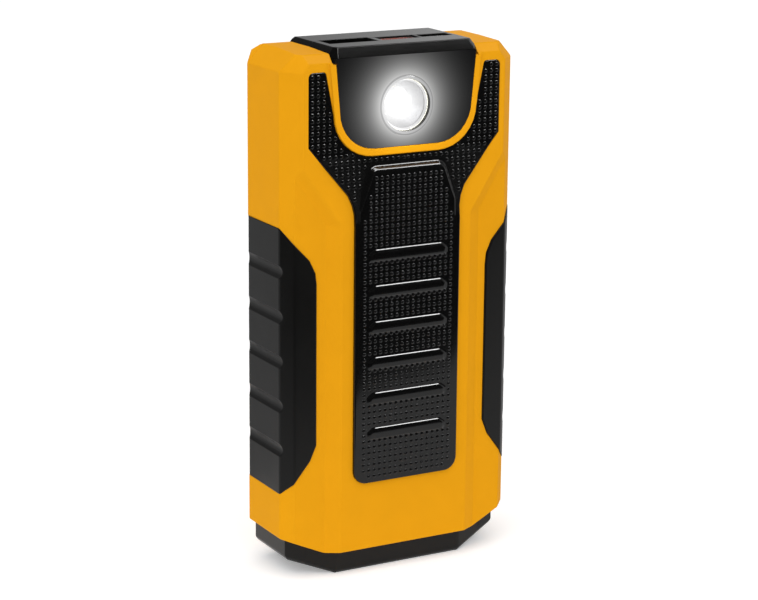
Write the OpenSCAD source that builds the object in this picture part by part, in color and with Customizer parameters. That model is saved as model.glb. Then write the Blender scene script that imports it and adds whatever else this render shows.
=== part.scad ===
// Jump starter pack with a front work lamp, three sockets on top and rubber side grips.
// Axes: X across the width, Y from the front (-) to the rear (+), Z up. The base stands on Z = 0.
// Millimetres throughout. Every sub-part is drawn by its own module.

/* [Housing] */
// Width across the flat sides
body_width = 81.8; // [80:0.1:86]
// Depth from the front plateau to the rear face
body_depth = 34; // [33.5:0.5:38]
// Height of the housing top above the floor
housing_top = 167.1; // [166:0.1:172]
// How far the raised front plateau stands in front of the outer front faces
plateau_rise = 2.4; // [1.6:0.1:2.8]
// Half width of the plateau beside the insert
plateau_half = 22.8; // [22:0.1:24]
// Width of the bevel along the plateau
plateau_bevel = 4.5; // [3:0.1:5.5]
// How far the upper front leans back above the bend
upper_setback = 1.5; // [0.8:0.1:2]
// Width taken from each front corner by its upright chamfer
corner_run = 3.5; // [3:0.1:4]
// Depth taken from each front corner by its upright chamfer
corner_depth = 3.5; // [3:0.1:4.4]
// Rise of the sloping shoulders at the top
shoulder_rise = 5.6; // [4:0.1:7]
// Run of the sloping shoulders at the top
shoulder_run = 5.5; // [4:0.1:6.5]
// Height of the bevel along the top of the front
brow_rise = 3.1; // [2:0.1:3.6]
// Wall between the cavity and the outside of each flat side
side_wall = 3.8; // [3.6:0.1:4.4]
// Wall between the cavity and the front plateau
front_wall = 6.4; // [6.2:0.1:6.8]
// Wall of the rear cover
cover_wall = 2.4; // [2:0.1:3]
// Depth of the rear cover in front of the rear face
cover_depth = 5.3; // [5:0.1:6]
// Run of the rear corner chamfer
rear_run = 4.5; // [3.5:0.1:4.7]

/* [Front insert] */
// Height of the insert's lower edge above the floor
insert_bottom = 30.2; // [28:0.1:34]
// Half width of the insert's straight lower part
insert_half = 18.6; // [18:0.1:19.4]
// Half width across the upper wings
wing_half = 33.6; // [33:0.1:34]
// Distance from the housing top down to the wings' outer corners
wing_drop = 28.5; // [27:0.5:30]
// How far the insert stands proud of the plateau
insert_proud = 1.1; // [0.6:0.1:1.6]
// Radius of the insert's lower corners
insert_corner = 4.4; // [3:0.1:5]
// Half width of the ribbed pad
pad_half = 16.9; // [16:0.1:17.4]
// Number of wedge ridges across the pad
ridge_count = 6; // [3:1:7]
// Pitch of the ridges
ridge_pitch = 11.48; // [9.5:0.01:12]
// Height of the lowest ridge's upper step above the floor
ridge_first = 48.15; // [44:0.05:52]
// Half length of a ridge
ridge_half = 14; // [9:0.1:14.5]
// Run of a ridge's slope below its crest
ridge_run = 3.8; // [2.5:0.1:5]
// How far a ridge's crest stands proud of the pad
ridge_proud = 0.5; // [0.3:0.1:0.8]

/* [Lamp] */
// Height of the lamp's centre below the housing top
lamp_drop = 17.6; // [16.8:0.1:18]
// Half width of the lamp panel at its top
panel_half_top = 24.5; // [24:0.1:25]
// Half width of the lamp panel at its sides
panel_half = 23; // [22:0.1:23.6]
// Corner radius of the lamp panel
panel_radius = 12; // [9:0.5:13]
// Distance from the housing top down to the panel's lower edge
panel_drop = 30.1; // [29.5:0.1:31]
// Thickness of the lamp panel
panel_thick = 3; // [2.6:0.1:3.2]
// Width of the collar around the lamp panel
collar_width = 2.1; // [1.6:0.1:2.6]
// How far the collar stands proud of the upper front
collar_proud = 0.6; // [0.3:0.1:1]
// Outer diameter of the lens ring
ring_diameter = 18.8; // [18:0.1:20]
// Width of the ring's front face around the lens
ring_width = 1.3; // [1.1:0.1:1.6]
// Depth of the reflector
reflector_depth = 5.8; // [4.5:0.1:6]

/* [Top cover and sockets] */
// Half width of the top cover's flat top
cover_half = 24; // [23:0.1:24.4]
// How far the top cover stands proud of the housing
cover_proud = 1.3; // [0.8:0.1:2]
// Distance of the top cover's rear edge behind the front plateau
cover_reach = 30.6; // [29.6:0.1:31]
// Distance of the cover's parting line behind the front plateau
cover_seam = 16.8; // [16:0.1:17.6]
// Distance of the socket row behind the front plateau
socket_row = 14.6; // [14.4:0.1:15]
// Position of the jump socket across the width
jump_x = -13.2; // [-13.8:0.1:-12.9]
// Width of the jump socket housing
jump_width = 16.6; // [15.8:0.1:17]
// Depth of the jump socket housing
jump_depth = 7.8; // [7.6:0.1:8.2]
// Pitch of the two jump contacts
contact_pitch = 8; // [7.6:0.1:8.4]
// Bore of a jump contact
contact_bore = 5; // [4:0.1:5.2]
// Outer diameter of a jump contact
contact_outer = 6.4; // [6:0.1:6.8]
// Position of the USB socket across the width
usb_x = 4; // [3.6:0.1:4.4]
// Width of the USB socket's shell
usb_width = 13.2; // [12.5:0.1:13.6]
// Thickness of the USB socket's shell
usb_thick = 5.8; // [5.4:0.1:6]
// Position of the charging inlet across the width
inlet_x = 17; // [16.6:0.1:17.4]
// Width of the charging inlet's shell
inlet_width = 9; // [8:0.1:9.6]
// Thickness of the charging inlet's shell
inlet_thick = 3.3; // [3:0.1:4]

/* [Grips] */
// Height of the grips' lower tip above the floor
grip_low = 28.2; // [24:0.1:32]
// Height of the grips' upper tip above the floor
grip_high = 114; // [110:0.1:118]
// How far the grips stand proud of the housing
grip_proud = 0.6; // [0.3:0.1:1]
// How far the grips stand proud of the flat sides
grip_side_proud = 0.1; // [0.05:0.05:0.8]
// Depth of the pockets that hold the grips
grip_pocket = 1.2; // [0.9:0.1:1.4]
// Half width at the grips' inner front edge
grip_inner = 30.2; // [29.4:0.1:31]
// Number of side grooves in each grip
rib_count = 5; // [3:1:5]
// Pitch of the side grooves
rib_pitch = 14.25; // [12:0.05:15]
// Height of the lowest side groove above the floor
rib_first = 43; // [40:0.1:46]
// Height of a side groove
rib_height = 4.2; // [3:0.1:6]
// Depth of a side groove
rib_depth = 0.8; // [0.6:0.1:0.9]

/* [Base] */
// Half width of the flat the pack stands on
foot_half = 22.7; // [20:0.1:25]
// Half width of the base cap
base_half = 38.2; // [37:0.1:39]
// Rise of the base cap's underside at its sides
base_rise = 5.7; // [4:0.1:7]
// Height of the housing's lower edge at the middle
skirt_mid = 8; // [7:0.1:9]
// Height of the housing's lower edge at the sides
skirt_side = 13.6; // [12.6:0.1:14.4]
// How far the base cap is set back from the front plateau
base_setback = 3.4; // [2.8:0.1:4.2]
// Depth taken by the oblique faces at the base cap's front corners
base_oblique = 5; // [4:0.1:6]
// Bevel around the base cap's lower edge
base_bevel = 1.1; // [0.5:0.1:1.6]
// Height of the plug that enters the housing
plug_height = 3; // [2:0.1:4]

/* [Power button and lights] */
// Distance from the housing top down to the power button
button_drop = 32; // [30:0.5:33]
// Diameter of the power button
button_diameter = 12.6; // [10:0.1:13.4]
// Gap around the power button
button_gap = 0.3; // [0.2:0.05:0.4]
// How far the power button stands proud of the rear face
button_proud = 0.8; // [0.4:0.1:1.5]
// Travel of the power button
button_travel = 0.7; // [0.4:0.05:0.8]
// Diameter of the charge light pipes
pipe_diameter = 3; // [2:0.1:3.4]
// Pitch of the charge light pipes
pipe_pitch = 6; // [4.6:0.1:7]
// Number of charge light pipes
pipe_count = 4; // [2:1:4]
// Distance from the housing top down to the light pipes
pipe_drop = 44; // [43:0.5:45]

/* [Cells and boards] */
// Number of pouch cells
cell_count = 3; // [2:1:3]
// Width of a pouch cell
cell_width = 58; // [54:0.5:59]
// Thickness of a pouch cell
cell_thick = 7.4; // [6:0.1:7.4]
// Height of a pouch cell
cell_height = 101; // [90:0.5:102]
// Thickness of the boards
board_thick = 1.6; // [1.2:0.1:1.6]
// Half width of the main board
board_half = 29; // [28.5:0.1:29.4]
// Diameter of a capacitor
capacitor_diameter = 6; // [5:0.1:6.6]
// Length of a capacitor
capacitor_long = 8; // [6:0.1:8.5]
// Pitch of the two capacitors
capacitor_pitch = 8; // [7:0.1:8.6]
// Side of the inductor
inductor_side = 8; // [6:0.1:8.5]
// Thickness of the inductor
inductor_thick = 4; // [3:0.1:5]

/* [Screws] */
// Spacing of the cover screws from the middle
screw_x = 33; // [32.8:0.1:33.2]
// Diameter of a cover screw's shank
screw_shank = 2.6; // [2.2:0.1:2.8]
// Diameter of a cover screw's head
screw_head = 4.8; // [4.2:0.1:5]
// Height of a cover screw's head
screw_head_high = 1.8; // [1.4:0.1:2]
// Diameter of the screw bosses
boss_diameter = 6; // [5.6:0.1:6.2]
// Length of a cover screw's shank
screw_long = 13; // [10:0.5:14]
// Diameter of a board screw's shank
board_screw = 2; // [1.6:0.1:2.2]
// Diameter of a board screw's head
board_screw_head = 4; // [3.4:0.1:4.4]
// Height of a board screw's head
board_screw_high = 1.5; // [1:0.1:1.8]
// Length of a board screw's shank
board_screw_long = 7.5; // [6:0.1:8]
// Spacing of the board screws from the middle
board_screw_x = 25; // [23:0.5:26]
// Height of the lower board screws above the board's lower edge
board_screw_rise = 5; // [4:0.1:6]
// Distance between the lower and the upper board screws
board_screw_span = 15; // [12:0.5:16]

/* [Hidden] */

hw = body_width / 2;
fy = -body_depth / 2;
by = body_depth / 2;
split = by - cover_depth;
top = housing_top;
// Upright chamfer: the line from (hw, fy + corner_y) to the outer front face
outer_y = plateau_rise + 1;
corner_y = outer_y + corner_depth;
slope = corner_depth / corner_run;
corner_x = hw - corner_run;
plateau_x = corner_x - outer_y / slope;
// The grips' outer faces fold along this line
grip_fold = corner_x + 0.4 * grip_proud;
foot_x = plateau_half + plateau_bevel;
// The front bends back between these two heights
bend_low = top - 54;
bend_high = top - 35;
side_top = top - shoulder_rise;
brow_z = top - brow_rise;
// Rest of the derived positions
cavity_x = hw - side_wall;
cavity_y = fy + front_wall;
cavity_top = top - 5.6;
slot_floor = top - 3.6;
cover_top = top + cover_proud;
cover_base = cover_half + 1.4;
lamp_z = top - lamp_drop;
panel_y = fy + upper_setback - 0.6;
panel_back = panel_y + panel_thick;
panel_low = top - panel_drop;
panel_top = top - 1.9;
row_y = fy + socket_row;
roof_half = jump_width / 2 - jump_x + 0.5;
usb_back = row_y + usb_thick / 2;
board_y = usb_back + 0.1;
board_back = board_y + board_thick;
board_low = top - 48;
board_high = top - 7;
board_screw_rows = [board_low + board_screw_rise, board_low + board_screw_rise + board_screw_span];
port_board_z = top - 14.4;
button_z = top - button_drop;
pipe_z = top - pipe_drop;
cover_in = by - cover_wall;
cell_low = skirt_side + plug_height + 0.6;
pad_thick = (cover_in - cavity_y - cell_count * cell_thick) / (cell_count + 1);
screw_low = skirt_mid + 16;
screw_high = top - 12;
jump_top = cover_top - 1.6;
contact_top = jump_top - 3;
contact_low = top - 19.2;
notch_z = contact_low - 4.8;
ring_r = ring_diameter / 2;
lens_r = ring_r - ring_width;
reflector_r = lens_r + 0.3;
ring_front = panel_y - 0.1;
lens_back = panel_back - 0.6;
led_back = panel_back + reflector_depth;
stem_tip = board_back + 5.7;

function mir(p) = concat(p, [for (i = [len(p) - 1 : -1 : 0]) [-p[i][0], p[i][1]]]);
function arc(x, y, r, a0, a1, n) = [for (i = [0 : n]) [x + r * cos(a0 + (a1 - a0) * i / n),
    y + r * sin(a0 + (a1 - a0) * i / n)]];
// Right half of the panel's edge from the top down to the middle, grown by g
function panel_edge(g) = concat([[panel_half_top + g, panel_top + 4], [panel_half_top + g, panel_top]],
    arc(panel_half + g - (panel_radius + 0.8 * g), panel_low - 1.2 * g + panel_radius + 0.8 * g,
    panel_radius + 0.8 * g, 0, -90, 8));
// Right half of the insert's outline from the bottom up, grown by g
function insert_edge(g) = concat(
    arc(insert_half - insert_corner, insert_bottom + insert_corner, insert_corner + g, -90, 0, 8),
    [[insert_half + g, top - 50.3]],
    [[insert_half + 0.6 + g, top - 47.3]],
    [[insert_half + 2 + g, top - 44.1]],
    [[wing_half + g, top - wing_drop - 0.5 * g]],
    arc(wing_half - 1.5, side_top - 0.1 - 1.5, 1.5 + g, 0, 90, 4),
    arc(panel_half_top + collar_width + 2, side_top - 0.1 - 1, 1 + g, 90, 170, 4));
// Position of a light pipe across the width
function pipe_x(i) = (i - (pipe_count - 1) / 2) * pipe_pitch;
function insert_inner(g) = [for (p = panel_edge(collar_width + g)) if (p[1] < side_top - 3) p];

module along_y(y0, y1) {
    translate([0, y1, 0])
        rotate([90, 0, 0])
            linear_extrude(height = y1 - y0)
                children();
}

module along_x(x0, x1) {
    translate([x0, 0, 0])
        rotate([90, 0, 90])
            linear_extrude(height = x1 - x0)
                children();
}

// Round bar along Y
module bar_y(x, z, r, y0, y1) {
    translate([x, y1, z])
        rotate([90, 0, 0])
            cylinder(r = r, h = y1 - y0, $fn = 48);
}

// Block on the outer side of the plane through three points, of side s
module beyond(a, b, c, out, s) {
    n0 = cross(b - a, c - a);
    n = n0 / norm(n0) * (n0 * out > 0 ? 1 : -1);
    translate((a + b + c) / 3)
        rotate([0, acos(n[2]), atan2(n[1], n[0])])
            translate([-s / 2, -s / 2, 0])
                cube([s, s, s]);
}

module front_outline() {
    polygon(mir([[foot_x, skirt_mid], [corner_x, skirt_side - 1.1], [hw, skirt_side], [hw, side_top],
        [hw - shoulder_run, top]]));
}

// Space in front of one lower side face, beside and below the plateau
module side_step() {
    dy = -6;
    dx = plateau_half + dy * plateau_bevel / plateau_rise;
    far = hw + 10;
    oy = plateau_rise + (far - foot_x) / (corner_x - foot_x);
    z0 = bend_low + 0.9;
    // The diagonal bevel that ends the space at its top
    a = [plateau_half, fy, z0];
    difference() {
        translate([0, 0, -5])
            linear_extrude(height = top)
                polygon([[dx, fy + dy], [far, fy + dy], [far, fy + oy], [foot_x, fy + plateau_rise]]);
        beyond(a, a + [10, 0, 18.4], a + [0, 2, -6.7], [0, 0, 1], 200);
    }
}

// Space outside the diagonal corner of the brow
module brow_corner() {
    a = [hw - 5.1, fy + upper_setback, brow_z - 3];
    b = [hw - 7.5, fy + upper_setback, brow_z];
    beyond(a, b, a + [3.2, 3.2, 0.15], [1, -1, 1], 60);
}

// Outline of a grip seen from the front, grown by g
module grip_outline(g) {
    far = hw + 3;
    polygon([[grip_inner - g, grip_low + 16], [grip_inner + 2.1 - g, grip_low + 11 - g],
        [grip_fold, grip_low + 4 - g], [hw + grip_side_proud, grip_low - g], [far, grip_low - g],
        [far, grip_high + g], [hw + grip_side_proud, grip_high + g], [grip_fold, grip_high - 5 + g],
        [grip_inner + 2.3 - g, grip_high - 10.5 + g], [grip_inner + 0.4 - g, grip_high - 14.5],
        [grip_inner - g, grip_high - 18]]);
}

// Plan of the body's right front corner, its front moved out by g, its side by gx, closed by rear points
module corner_plan(g, gx, rear) {
    inner = grip_inner - 6;
    polygon(concat([[inner, fy + outer_y - 1.3 - g], [corner_x + 0.4 * g, fy + outer_y - g],
        [hw + gx, fy + corner_y - gx]], rear, [[inner, by]]));
}

// What lies inside the pockets' walls
module grip_core() {
    translate([0, 0, -1])
        linear_extrude(height = 202)
            corner_plan(-grip_pocket, -grip_pocket, [[hw - grip_pocket, by]]);
}

module grip_pocket_right() {
    difference() {
        along_y(fy - 5, split + 5)
            grip_outline(0.03);
        grip_core();
    }
}

// The cap-shaped slot along the top
module cover_slot(g) {
    along_y(fy - 6, fy + cover_reach + g)
        polygon(mir([[cover_base + g, slot_floor - g], [cover_base + g, top + 9]]));
}

module cavity() {
    translate([0, 0, -5])
        linear_extrude(height = cavity_top + 5)
            polygon(mir([[cavity_x - 4.6, cavity_y], [cavity_x, cavity_y + 4.6], [cavity_x, split + 1]]));
}

module insert_back_space(front) {
    along_x(-60, 60)
        polygon([[front, 20], [fy + 2.2, 20], [fy + 2.2, bend_low], [fy + 2.2 + upper_setback, bend_high],
            [fy + 2.2 + upper_setback, top + 5], [front, top + 5]]);
}

module insert_plan(g) {
    polygon(mir(concat(insert_edge(g), insert_inner(-g))));
}

module front_shell() {
    color([0.89, 0.61, 0.10])
        difference() {
            union() {
                difference() {
                    intersection() {
                        linear_extrude(height = top + 5)
                            polygon(mir([[plateau_x, fy], [hw, fy + corner_y], [hw, split]]));
                        along_x(-hw - 1, hw + 1)
                            polygon([[fy, 0], [fy, bend_low], [fy + upper_setback, bend_high],
                                [fy + upper_setback, brow_z], [fy + upper_setback + 2.8, top - 0.5],
                                [fy + 17, top], [split + 1, top], [split + 1, 0]]);
                        along_y(fy - 1, split)
                            front_outline();
                    }
                    side_step();
                    mirror([1, 0, 0])
                        side_step();
                    brow_corner();
                    mirror([1, 0, 0])
                        brow_corner();
                    cavity();
                }
                intersection() {
                    along_y(fy + upper_setback - collar_proud, fy + upper_setback + 1)
                        polygon(mir(concat([[panel_half_top + collar_width, brow_z]],
                            insert_inner(0))));
                    translate([-40, fy - 5, panel_low - 4])
                        cube([80, 10, brow_z - panel_low + 4]);
                }
                for (sx = [-1, 1])
                    for (z = [screw_low, screw_high])
                        bar_y(sx * screw_x, z, boss_diameter / 2, cavity_y - 1, split);
            }
            // Seat of the insert
            intersection() {
                along_y(fy - 8, fy + 8)
                    insert_plan(0.05);
                insert_back_space(fy - 8);
            }
            // Seat of the lamp panel, open to the top
            along_y(fy - 8, panel_back)
                polygon(mir(panel_edge(0.05)));
            bar_y(0, lamp_z, reflector_r + 0.2, fy - 1, cavity_y + 1);
            cover_slot(0.05);
            // Opening in the roof for the sockets
            translate([-roof_half, cavity_y + 0.6, cavity_top - 1])
                cube([2 * roof_half, split - 1.8 - cavity_y, 10]);
            grip_pocket_right();
            mirror([1, 0, 0])
                grip_pocket_right();
            for (sx = [-1, 1])
                for (z = [screw_low, screw_high])
                    bar_y(sx * screw_x, z, screw_shank / 2 + 0.1, split - 13, split + 1);
        }
}

module rear_cover() {
    color([0.88, 0.60, 0.10])
        difference() {
            union() {
                difference() {
                    intersection() {
                        linear_extrude(height = top + 5)
                            polygon(mir([[hw, split], [hw - rear_run, by]]));
                        along_x(-hw - 1, hw + 1)
                            polygon([[split, 0], [split, top], [by - 3.8, top - 0.4], [by, top - 3.2],
                                [by, 0]]);
                        along_y(split, by + 1)
                            front_outline();
                    }
                    translate([0, 0, -5])
                        linear_extrude(height = cavity_top + 5)
                            polygon(mir([[cavity_x, split - 1], [cavity_x, split],
                                [cavity_x - 2.6, cover_in]]));
                }
                for (sx = [-1, 1])
                    for (z = [screw_low, screw_high])
                        bar_y(sx * screw_x, z, boss_diameter / 2, split, cover_in + 1);
                for (sx = [-1, 1])
                    for (z = board_screw_rows)
                        bar_y(sx * board_screw_x, z, board_screw / 2 + 1.5, board_back, cover_in + 1);
            }
            cover_slot(0.05);
            grip_pocket_right();
            mirror([1, 0, 0])
                grip_pocket_right();
            for (sx = [-1, 1])
                for (z = [screw_low, screw_high]) {
                    bar_y(sx * screw_x, z, screw_shank / 2 + 0.1, split - 1, by + 1);
                    bar_y(sx * screw_x, z, screw_head / 2 + 0.15, by - screw_head_high, by + 1);
                }
            for (sx = [-1, 1])
                for (z = board_screw_rows)
                    bar_y(sx * board_screw_x, z, board_screw / 2 + 0.1, board_back - 1,
                        board_y + board_screw_long + 1);
            bar_y(0, button_z, button_diameter / 2 + button_gap, cover_in - 1, by + 1);
            for (i = [0 : pipe_count - 1])
                bar_y(pipe_x(i), pipe_z, pipe_diameter / 2 + 0.05, cover_in - 1, by + 1);
        }
}

// A wedge across the pad, with its step at height z and its slope below
module ridge(z) {
    y = fy - insert_proud;
    end = ridge_run - 1;
    intersection() {
        along_y(y - 1, y + 1)
            polygon(mir(concat(arc(ridge_half - end, z - ridge_run + end, end, -90, 0, 6),
                arc(ridge_half - 0.8, z - 0.8, 0.8, 0, 90, 3))));
        along_x(-ridge_half, ridge_half)
            polygon([[y, z], [y - 0.8 * ridge_proud, z - 0.1], [y - ridge_proud, z - 0.5],
                [y - 0.9 * ridge_proud, z - 1.1], [y, z - ridge_run], [y + 1, z - ridge_run], [y + 1, z]]);
    }
}

module front_insert() {
    y = fy - insert_proud;
    color([0.10, 0.10, 0.11])
        union() {
            intersection() {
                along_y(fy - 8, fy + 8)
                    insert_plan(0);
                along_x(-60, 60)
                    polygon([[y, 20], [y, bend_low], [fy + upper_setback - 0.1, bend_high + 4],
                        [fy + upper_setback - 0.1, top + 5], [fy + 2.2 + upper_setback, top + 5],
                        [fy + 2.2 + upper_setback, bend_high], [fy + 2.2, bend_low], [fy + 2.2, 20]]);
            }
            // The pad runs on upright where the wings lean back
            intersection() {
                along_y(fy - 8, fy + 2)
                    polygon(mir(concat([[pad_half, bend_low - 2], [pad_half, top - 48]],
                        arc(pad_half - 6.2, top - 38.4, 3.4, 15, 90, 5))));
                along_x(-60, 60)
                    polygon([[y, bend_low - 2], [y, top - 37.4], [y + 2.2, top - 35.2],
                        [fy + 1.4, top - 35.2], [fy + 1.4, bend_low - 2]]);
            }
            for (i = [0 : ridge_count - 1])
                ridge(ridge_first + i * ridge_pitch);
        }
}

module grip_body() {
    side = hw + grip_side_proud;
    r = (rib_height * rib_height / 4 + rib_depth * rib_depth) / (2 * rib_depth);
    difference() {
        intersection() {
            along_y(fy - 5, by)
                grip_outline(0);
            difference() {
                linear_extrude(height = 200)
                    corner_plan(grip_proud, grip_side_proud,
                        [[side, split - 0.5], [hw - grip_pocket, split + 1.1]]);
                grip_core();
            }
        }
        for (i = [0 : rib_count - 1])
            translate([side + r - rib_depth, fy, rib_first + i * rib_pitch])
                rotate([-90, 0, 0])
                    cylinder(r = r, h = body_depth, $fn = 64);
    }
}

module grip_right() {
    color([0.15, 0.15, 0.15])
        grip_body();
}

module grip_left() {
    color([0.15, 0.15, 0.15])
        mirror([1, 0, 0])
            grip_body();
}

module base_cap() {
    y0 = fy + base_setback;
    y1 = by - 2.8;
    p = [foot_half, y0, 0];
    q = [base_half, y0 + base_oblique, base_rise];
    // Inward direction of the oblique front face
    n = [-(q[1] - p[1]), q[0] - p[0], 0] / norm([q[1] - p[1], q[0] - p[0], 0]);
    color([0.17, 0.16, 0.16])
        union() {
            difference() {
                intersection() {
                    linear_extrude(height = 30)
                        polygon(mir([[foot_half, y0], [base_half, y0 + base_oblique], [base_half, y1 - 1.4],
                            [base_half - 3, y1]]));
                    along_x(-60, 60)
                        polygon([[y0, base_bevel], [y0 + base_bevel * 0.8, 0], [y1 - base_bevel, 0],
                            [y1, base_bevel], [y1, 30], [y0, 30]]);
                    along_y(-60, 60)
                        polygon(mir([[foot_half, 0],
                            [base_half - 1.2, base_rise * (1 - 1.2 / (base_half - foot_half))],
                            [base_half, base_rise + base_bevel],
                            [base_half, skirt_side - 1.1 + 1.1 * (base_half - corner_x) / corner_run],
                            [corner_x, skirt_side - 1.1], [foot_x, skirt_mid]]));
                }
                for (m = [0, 1])
                    mirror([m, 0, 0])
                        beyond(p + [0, 0, base_bevel], q + [0, 0, base_bevel], p + n * base_bevel * 0.8,
                            [0, 0, -1], 90);
            }
            // Plug inside the housing
            intersection() {
                linear_extrude(height = 60)
                    polygon(mir([[cavity_x - 4.7, cavity_y + 0.1], [cavity_x - 0.1, cavity_y + 4.7],
                        [cavity_x - 0.1, split - 0.5]]));
                along_y(-60, 60)
                    polygon(mir([[foot_half, 2], [base_half - 2, base_rise + 2],
                        [base_half - 2, skirt_side + plug_height], [2, skirt_side + plug_height]]));
            }
        }
}

module top_cover() {
    y0 = panel_y - 0.1;
    y1 = fy + cover_reach;
    color([0.20, 0.20, 0.20])
        difference() {
            intersection() {
                along_y(y0, y1)
                    polygon(mir([[cover_base, slot_floor], [cover_base, top - 0.6],
                        [cover_half, cover_top]]));
                along_x(-60, 60)
                    polygon([[y0, panel_top], [y0 + 2.4, cover_top], [y1 - 0.8, cover_top],
                        [y1, cover_top - 0.8], [y1, slot_floor], [panel_back, slot_floor],
                        [panel_back, panel_top]]);
            }
            for (m = [0, 1])
                mirror([m, 0, 0])
                    beyond([cover_half + 0.1, y0 + 3.6, cover_top], [cover_half - 1.1, y0 + 2.4, cover_top],
                        [cover_half - 0.1, y0, panel_top], [1, -1, 1], 40);
            translate([-60, fy + cover_seam, cover_top - 0.25])
                cube([120, 0.3, 5]);
            translate([jump_x - jump_width / 2 - 0.05, row_y - jump_depth / 2 - 0.05, 0])
                cube([jump_width + 0.1, jump_depth + 0.1, 200]);
            translate([usb_x - usb_width / 2 - 0.05, row_y - usb_thick / 2 - 0.05, 0])
                cube([usb_width + 0.1, usb_thick + 0.1, 200]);
            translate([inlet_x - 5.2, row_y - 2.5, 0])
                cube([10.4, 5, 200]);
        }
}

module lamp_panel() {
    color([0.06, 0.06, 0.07])
        difference() {
            intersection() {
                along_y(panel_y, panel_back)
                    polygon(mir(panel_edge(0)));
                translate([-60, -60, 0])
                    cube([120, 120, panel_top]);
            }
            bar_y(0, lamp_z, ring_r + 0.05, fy - 5, fy + 10);
        }
}

// Solid of revolution about the lamp's axis, drawn with [radius, depth] pairs behind the plateau
module lamp_turn() {
    translate([0, 0, lamp_z])
        rotate([-90, 0, 0])
            rotate_extrude($fn = 96)
                children();
}

module lens_ring() {
    r = ring_r;
    i = lens_r + 0.05;
    color([0.10, 0.10, 0.11])
        lamp_turn()
            polygon([[i, ring_front], [r - 0.5, ring_front], [r, ring_front + 0.4], [r, panel_back],
                [i - 0.8, panel_back], [i - 0.8, lens_back], [i, lens_back]]);
}

module lamp_lens() {
    r = lens_r;
    y0 = ring_front + 1.4;
    color([0.92, 0.95, 1.0])
        lamp_turn()
            polygon(concat([[0, lens_back], [0, y0 - 0.3]],
                [for (i = [1 : 6]) [r * i / 6, y0 - 0.3 * (1 - i * i / 36)]], [[r, lens_back]]));
}

module reflector() {
    r = reflector_r;
    color([0.82, 0.83, 0.85])
        lamp_turn()
            polygon(concat([[r, panel_back], [r, panel_back + 1.6], [r * 0.62, led_back], [3, led_back]],
                [for (i = [0 : 8]) [3 + (r - 4) * sqrt(i / 8),
                    led_back - 0.4 - (reflector_depth - 0.4) * i / 8]]));
}

module led_board() {
    color([0.86, 0.87, 0.85])
        difference() {
            bar_y(0, lamp_z, reflector_r - 0.4, led_back, led_back + 1);
            for (a = [0 : 60 : 300])
                bar_y((reflector_r - 0.2) * cos(a), lamp_z + (reflector_r - 0.2) * sin(a), 1.1,
                    led_back - 1, led_back + 2);
        }
}

module led_emitter() {
    color([0.95, 0.85, 0.35])
        union() {
            translate([-1.7, led_back - 0.5, lamp_z - 1.7])
                cube([3.4, 0.5, 3.4]);
            bar_y(0, lamp_z, 1.3, led_back - 0.9, led_back - 0.4);
        }
}

module lamp_leads() {
    color([0.78, 0.50, 0.30])
        for (sx = [-1, 1])
            bar_y(sx * 3, lamp_z - 4, 0.6, led_back + 1, board_y);
}

module cells() {
    color([0.62, 0.64, 0.67])
        for (i = [0 : cell_count - 1])
            translate([-cell_width / 2, cavity_y + pad_thick + i * (cell_thick + pad_thick), cell_low])
                difference() {
                    cube([cell_width, cell_thick, cell_height]);
                    for (m = [0, 1])
                        translate([m * cell_width, -1, cell_height])
                            rotate([0, 45, 0])
                                cube([3, cell_thick + 2, 3], center = false);
                }
}

module cell_pads() {
    color([0.25, 0.25, 0.27])
        for (i = [0 : cell_count])
            translate([-cell_width / 2 + 4, cavity_y + i * (cell_thick + pad_thick), cell_low + 4])
                cube([cell_width - 8, pad_thick, cell_height - 8]);
}

module busbars() {
    z = cell_low + cell_height;
    color([0.80, 0.55, 0.35])
        for (sx = [-1, 1])
            translate([sx * 12 - 4, 0, z])
                union() {
                    translate([0, cavity_y + 1.5, 0])
                        cube([8, cover_in - cavity_y - 3, 0.8]);
                    translate([0, board_y - 0.8, 0])
                        cube([8, 0.8, board_low - z + 7]);
                }
}

module main_board() {
    notch_x = usb_x - usb_width / 2 - 1.9;
    color([0.10, 0.32, 0.18])
        difference() {
            along_y(board_y, board_back)
                polygon([[-board_half, board_low], [board_half, board_low], [board_half, board_high],
                    [notch_x, board_high], [notch_x, notch_z], [-board_half, notch_z]]);
            for (sx = [-1, 1])
                for (z = board_screw_rows)
                    bar_y(sx * board_screw_x, z, board_screw / 2 + 0.1, board_y - 1, board_back + 1);
        }
}

module port_board() {
    x0 = usb_x - usb_width / 2 - 1.4;
    color([0.10, 0.32, 0.18])
        translate([x0, row_y - usb_thick / 2 - 0.1, port_board_z])
            cube([inlet_x + 8 - x0, board_y - row_y + usb_thick / 2 + 0.1, 1.2]);
}

module usb_shell() {
    z0 = port_board_z + 1.2;
    color([0.75, 0.76, 0.78])
        translate([usb_x, row_y, z0])
            difference() {
                translate([-usb_width / 2, -usb_thick / 2, 0])
                    cube([usb_width, usb_thick, cover_top - 0.6 - z0]);
                translate([-usb_width / 2 + 0.4, -usb_thick / 2 + 0.4, 0.4])
                    cube([usb_width - 0.8, usb_thick - 0.8, 40]);
            }
}

module usb_tongue() {
    z0 = port_board_z + 1.6;
    color([0.80, 0.20, 0.10])
        union() {
            translate([usb_x - usb_width / 2 + 0.4, row_y - usb_thick / 2 + 0.4, z0])
                cube([usb_width - 0.8, usb_thick - 0.8, 3.5]);
            translate([usb_x - usb_width / 2 + 1, row_y + 0.4, z0])
                cube([usb_width - 2, 1.9, cover_top - 0.9 - z0]);
        }
}

module stadium(w, t) {
    union() {
        translate([-(w - t) / 2, -t / 2])
            square([w - t, t]);
        for (sx = [-1, 1])
            translate([sx * (w - t) / 2, 0])
                circle(d = t, $fn = 40);
    }
}

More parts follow.
